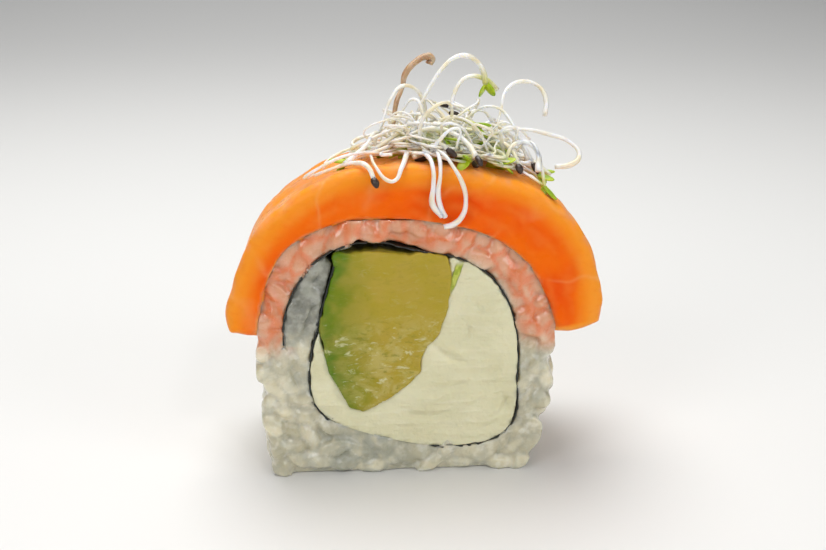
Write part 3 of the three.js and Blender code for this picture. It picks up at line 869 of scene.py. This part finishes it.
def lay_flush(mesh, trees):
    """The knife left the rice almost flush beside the nori and the salmon."""
    for vertex in mesh.vertices:
        place = vertex.co
        depth = CUT_FACE_Y - abs(place.y)
        if 0 < depth < FLUSH_DEPTH:
            gap = min(trees["nori"].find_nearest(place)[3], trees["salmon"].find_nearest(place)[3])
            share = FLUSH_NEAR * smoothstep(-1.5 * MM, -0.4 * MM, -gap)
            depth -= share * depth * (1 - depth / FLUSH_DEPTH)
            place.y = math.copysign(CUT_FACE_Y - depth, place.y)


def rice_to_nori(place):
    """The rice hides the nori at the lower left, and leaves a void over the avocado."""
    x, z = place.x / MM, place.z / MM
    hidden = smoothstep(4, -2, x) * smoothstep(15, 11, z)
    mean = 0.4 + 0.36 * hidden + 0.5 * nori_hidden(place) - 0.34 * void_over_avocado(place)
    return dragged(mean, 0.3, 1.2, 2.6)(place)


def rice_lumps(trees):
    """The relief of grains too small to be set one by one; it is strongest in the fold of the nori."""
    def height(place, normal):
        rough = 0.25 if is_folded_in(place, trees) else 0.06
        return (0.2 - abs(noise_at(place, 1.7 * MM, 3.7))) * rough * MM
    return height


def make_rice(rng, trees):
    """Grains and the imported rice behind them, melted together where they touch."""
    core = fine_copy("rice", "rice_core", 0.6 * MM, 6)
    bm = bmesh.new()
    bm.from_mesh(core.data)
    bpy.data.objects.remove(core)
    pare(bm)
    shape = grain_shape()
    places = [*cut_face_grains(rng, -1, trees), *cut_face_grains(rng, 1, trees), *flank_grains(rng, trees)]
    for place, along, fit in places:
        width, thickness, length = (rng.uniform(*spread) for spread in GRAIN_SPREADS)
        size = Matrix.Diagonal((fit * width, fit * thickness, length, 1))
        where = Matrix.Translation(place) @ turned_to(along, rng.uniform(0, 2 * math.pi)) @ size
        first = len(bm.verts)
        bm.from_mesh(shape)
        bm.verts.ensure_lookup_table()
        bmesh.ops.transform(bm, matrix=where, verts=bm.verts[first:])
    piece = piece_from(bm, "cooked_rice")
    press(piece.data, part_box("rice"))
    remesh = piece.modifiers.new("remesh", "REMESH")
    remesh.mode = "VOXEL"
    remesh.voxel_size = RICE_VOXEL
    smooth = piece.modifiers.new("smooth", "SMOOTH")
    smooth.factor = 0.5
    smooth.iterations = 1
    apply_modifiers(piece)
    lay_flush(piece.data, trees)
    raise_surface(piece, rice_lumps(trees))
    hug(piece, trees["nori"], NORI_REACH, rice_to_nori, past_nori)
    hug(piece, trees["salmon_slab"], 1.9 * MM, dragged(0.85, 0.15, 1.6, 7.4))
    press(piece.data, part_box("rice"))
    centres = KDTree(len(places))
    for number, (place, _, _) in enumerate(places):
        centres.insert(place, number)
    centres.balance()
    shades = [rng.random() for _ in places]
    directions = [along.normalized() for _, along, _ in places]

    def nearest_grains(place):
        """How far off the two nearest grains are, with the number of the first."""
        found = []
        for centre, number, _ in centres.find_n(place, NEAR_GRAINS):
            offset = place - centre
            reach = offset.dot(directions[number])
            past_end = max(abs(reach) - GRAIN_CORE * GRAIN_LENGTH, 0)
            beside = (offset - directions[number] * reach).length
            found.append((math.hypot(past_end, beside), number))
        found.sort()
        return found[0][0], found[1][0], found[0][1]

    shade = piece.data.attributes.new("shade", "FLOAT", "POINT")
    crease_shade = piece.data.attributes.new("crease_shade", "FLOAT", "POINT")
    for vertex, shade_item, crease_shade_item in zip(piece.data.vertices, shade.data, crease_shade.data):
        first, second, number = nearest_grains(vertex.co)
        shade_item.value = shades[number]
        # 1 where two grains meet, for painted shade in the creases between them
        crease_shade_item.value = smoothstep(0.55 * MM, 0.05 * MM, second - first)
    # Painted shade inside the fold of the nori.
    paint(piece, "fold_shade", lambda place, normal: fold_shade_at(place, trees))
    # Painted reflected light: how strongly light bounced off the salmon tints the rice.
    paint(piece, "salmon_bounce", lambda place, normal: salmon_bounce_at(place, trees))
    return give(piece, rice_finish(), "rice", "rice")


def is_folded_in(place, trees):
    """Whether the nori passes on the outside of this place."""
    outwards = Vector((place.x, 0, place.z - ROLL_CENTRE.z)).normalized()
    inside = Vector((place.x, max(min(place.y, 11 * MM), -11 * MM), place.z))
    return trees["nori"].ray_cast(inside + outwards * NORI_PASSED, outwards)[0] is not None


def fold_shade_at(place, trees):
    """Painted shade for the rice inside the fold of the nori: 1 in the fold, fading to 0 where the fold opens
    downwards.
    """
    return smoothstep(18, 22.5, place.z / MM) if is_folded_in(place, trees) else 0


def salmon_bounce_at(place, trees):
    """Painted light reflected from the salmon: a pink tint on the rice between it and the nori."""
    if is_folded_in(place, trees):
        return 0
    near = smoothstep(-7 * MM, -2.5 * MM, -trees["salmon"].find_nearest(place)[3])
    return near * smoothstep(16.5, 21.5, place.z / MM)


# Sprouts


def stem_finish():
    finish = Finish(
        "sprout_stem",
        Subsurface_Weight=0.7,
        Subsurface_Radius=(1.0, 0.85, 0.6),
        Subsurface_Scale=0.9 * MM,
        Coat_Weight=0.35,
        Coat_Roughness=0.2,
    )
    along = finish.noise(2.6, detail=2).between(0.4, 0.68)
    pale = finish.mix(along, (0.91, 0.91, 0.89), (0.82, 0.72, 0.54))
    green = finish.mix(finish.attribute("green") * 0.8, pale, (0.60, 0.64, 0.14))
    return finish.dress(green, 0.36, finish.noise(0.5, detail=2, stretch=(1, 1, 3)), depth=0.04)


def leaf_finish():
    finish = Finish(
        "sprout_leaf",
        Subsurface_Weight=0.4,
        Subsurface_Radius=(0.5, 1.0, 0.1),
        Subsurface_Scale=0.8 * MM,
    )
    shade = finish.noise(1.6, detail=2).between(0.35, 0.65)
    green = finish.mix(shade, (0.50, 0.62, 0.02), (0.28, 0.42, 0.01))
    return finish.dress(green, 0.4, finish.noise(0.6), depth=0.05)


def hull_finish():
    finish = Finish("seed_hull", Coat_Weight=0.2)
    shade = finish.noise(0.8, detail=3)
    return finish.dress(finish.mix(shade, (0.008, 0.006, 0.005), (0.05, 0.02, 0.012)), 0.4, shade, depth=0.08)


def root_finish():
    finish = Finish(
        "sprout_root",
        Subsurface_Weight=0.7,
        Subsurface_Radius=(1.0, 0.6, 0.3),
        Subsurface_Scale=1.2 * MM,
    )
    shade = finish.noise(1.8, detail=2).between(0.3, 0.7)
    return finish.dress(finish.mix(shade, (0.42, 0.27, 0.15), (0.62, 0.48, 0.33)), 0.3, shade, depth=0.05)


def loose_sprout(rng, trees):
    """A sprout that starts in the heap and winds over the salmon; some arch high."""
    turn = rng.uniform(0, 2 * math.pi)
    spread = math.sqrt(rng.random())
    x = SPROUT_HEAP["x"] + SPROUT_HEAP["half"][0] * spread * math.cos(turn)
    y = SPROUT_HEAP["y"] + SPROUT_HEAP["half"][1] * spread * math.sin(turn)
    heading = rng.uniform(0, 2 * math.pi)
    curl = rng.gauss(0, 0.5)
    steps = rng.randint(*LOOSE_STEPS)
    rise = rng.uniform(*HIGH_RISE) if rng.random() < HIGH_SHARE else rng.uniform(*LOW_RISE) * (1.25 - spread)
    layer = rng.uniform(*LOOSE_LAYERS) * (1.3 - spread)
    points = []
    for i in range(steps):
        ground = trees["salmon_slab"].ray_cast(Vector((x, y, 80)) * MM, Vector((0, 0, -1)))[0]
        if ground is None or x > LOOSE_REACH_X:
            break
        arch = rise * math.sin(math.pi * i / (steps - 1))
        points.append((x, y, ground.z / MM + STEM_RADIUS + layer + arch))
        off_x, off_y = (x - SPROUT_HEAP["x"]) / TURN_BACK["x"], (y - SPROUT_HEAP["y"]) / TURN_BACK["y"]
        if math.hypot(off_x, off_y) > 1:
            home = math.atan2(-off_y, -off_x)
            heading += TURN_BACK["force"] * math.sin(home - heading)
        heading += curl + rng.gauss(0, WOBBLE)
        x += LOOSE_STRIDE * math.cos(heading)
        y = min(max(y + LOOSE_STRIDE * math.sin(heading), -LOOSE_REACH_Y), LOOSE_REACH_Y)
    return rng.choices([*LOOSE_ENDS], [*LOOSE_ENDS.values()])[0], points


def tubes(name, routes, radius):
    """Round stems, each through its points and of its own fullness; they thicken towards the leaf end."""
    curve = bpy.data.curves.new(name, "CURVE")
    curve.dimensions = "3D"
    curve.bevel_depth = radius * MM
    curve.bevel_resolution = 1
    curve.resolution_u = 5
    curve.use_fill_caps = True
    for number, (points, fullness) in enumerate(routes):
        spline = curve.splines.new("BEZIER")
        spline.bezier_points.add(len(points) - 1)
        for i, (knot, point) in enumerate(zip(spline.bezier_points, points)):
            knot.co = Vector(point) * MM
            knot.handle_left_type = knot.handle_right_type = "AUTO"
            share = i / (len(points) - 1)
            knot.radius = fullness * (0.6 + 0.5 * share) * (1 + 0.14 * math.sin(2.4 * i + number))
    return piece_from(mesh_of_curve(curve), name)


def add_bud(bm, place, along, size, spin, cup=0.0):
    """A small rounded body past the tip of a stem; cup bends it like a spoon."""
    made = bmesh.ops.create_uvsphere(bm, u_segments=12, v_segments=8, radius=1)["verts"]
    for vertex in made:
        vertex.co.y += cup * (vertex.co.x ** 2 + vertex.co.z ** 2)
    shape = Matrix.Diagonal((*(part * MM for part in size), 1))
    shift = Matrix.Translation(Vector(place) * MM + along * size[2] * 0.75 * MM)
    bmesh.ops.transform(bm, matrix=shift @ turned_to(along, spin) @ shape, verts=made)


def make_sprouts(rng, trees):
    loose = [loose_sprout(rng, trees) for _ in range(LOOSE_SPROUTS)]
    sprouts = [*SPROUTS, *((ends, points) for ends, points in loose if len(points) > 2)]
    leaves, hulls, leaf_places = bmesh.new(), bmesh.new(), []
    for ends, points in sprouts:
        tip = Vector(points[-1])
        along = (tip - Vector(points[-2])).normalized()
        if ends == "hull":
            size = [part * rng.uniform(0.8, 1.15) for part in (0.52, 0.44, 0.95)]
            add_bud(hulls, tip, along, size, rng.uniform(0, 6), cup=rng.uniform(0.1, 0.4))
        if ends == "leaves":
            leaf_places.append(tip * MM)
            across = along.cross(Vector((0.3, 1, 0.2))).normalized()
            for side in (-1, 1):
                spread = (along + across * side * rng.uniform(0.35, 0.7)).normalized()
                add_bud(leaves, tip, spread, (0.72, 0.22, 1.35), rng.uniform(-0.6, 0.6), cup=0.5 * side)
    routes = [(points, rng.uniform(*FULLNESS["near"])) for _, points in sprouts[:len(SPROUTS)]]
    routes += [(points, rng.uniform(*FULLNESS["loose"])) for _, points in sprouts[len(SPROUTS):]]
    stems = tubes("sprout_stems", routes, STEM_RADIUS)
    paint(stems, "green", lambda place, normal: max(
        smoothstep(-3 * MM, -0.3 * MM, -(place - leaf).length) for leaf in leaf_places))
    give(stems, stem_finish(), "sprouts", "sprouts")
    give(piece_from(leaves, "sprout_leaves"), leaf_finish(), "sprouts")
    give(piece_from(hulls, "seed_hulls"), hull_finish(), "sprouts")
    give(tubes("sprout_root", [(THICK_ROOT, 0.9)], 0.6), root_finish(), "sprouts")


# Setting


def make_setting():
    bm = bmesh.new()
    bmesh.ops.create_grid(bm, x_segments=1, y_segments=1, size=FLOOR_HALF_SIZE)
    floor = piece_from(bm, "floor")
    finish = Finish("pale_floor")
    floor.data.materials.append(finish.dress((0.78, 0.78, 0.77), 0.6))
    floor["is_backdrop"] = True


def make_light(name, place, size, watts, colour=(1, 1, 1), aim=CAMERA_AIM):
    light = bpy.data.lights.new(name, "AREA")
    light.shape = "DISK"
    light.size = size
    light.energy = watts
    light.color = colour
    lamp = bpy.data.objects.new(name, light)
    lamp.location = place
    lamp.rotation_euler = (aim - lamp.location).to_track_quat("-Z", "Y").to_euler()
    bpy.context.scene.collection.objects.link(lamp)


def make_lights():
    make_light("overhead", Vector((-0.05, 0.10, 0.42)), 0.34, 1.55, (1.0, 0.99, 0.97))
    make_light("front_left", Vector((-0.30, -0.34, 0.30)), 0.26, 0.66)
    make_light("sparkle", Vector((0.12, -0.36, 0.36)), 0.05, 0.22)
    make_light("front_right", Vector((0.34, -0.28, 0.20)), 0.26, 0.5)
    for y in (0.8, -1.0):
        make_light("floor_light", Vector((0, y, 0.6)), 0.9, 2.4, aim=Vector((0, y, 0)))
    world = bpy.data.worlds.new("studio")
    world.use_nodes = True
    world.node_tree.nodes["Background"].inputs["Color"].default_value = (1, 1, 1, 1)
    world.node_tree.nodes["Background"].inputs["Strength"].default_value = 0.15
    bpy.context.scene.world = world
    bpy.context.scene.view_settings.view_transform = "Standard"


def make_camera():
    back = Vector((
        math.sin(CAMERA_AZIMUTH) * math.cos(CAMERA_ELEVATION),
        -math.cos(CAMERA_AZIMUTH) * math.cos(CAMERA_ELEVATION),
        math.sin(CAMERA_ELEVATION),
    ))
    data = bpy.data.cameras.new("camera")
    data.lens = CAMERA_LENS
    data.sensor_width = SENSOR_WIDTH
    data.clip_start = 0.01
    camera = bpy.data.objects.new("camera", data)
    camera.location = FACE_MIDDLE + back * CAMERA_DISTANCE
    camera.rotation_euler = (camera.location - CAMERA_AIM).to_track_quat("Z", "Y").to_euler()
    bpy.context.scene.collection.objects.link(camera)
    bpy.context.scene.camera = camera


make_camera()
make_setting()
make_lights()
rng = random.Random(SEED)
trees = {name: tree_of(name) for name in ("rice", "nori", "salmon", "avocado")}
trees["salmon_slab"] = tree_of_piece(make_salmon(trees))
make_cream_cheese(trees)
make_avocado(trees)
make_nori()
make_rice(rng, trees)
make_sprouts(rng, trees)

visual_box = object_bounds()
boxes = {"cad": cad_box, "visual": visual_box}
{name: [list(corner) for corner in box] for name, box in boxes.items()}
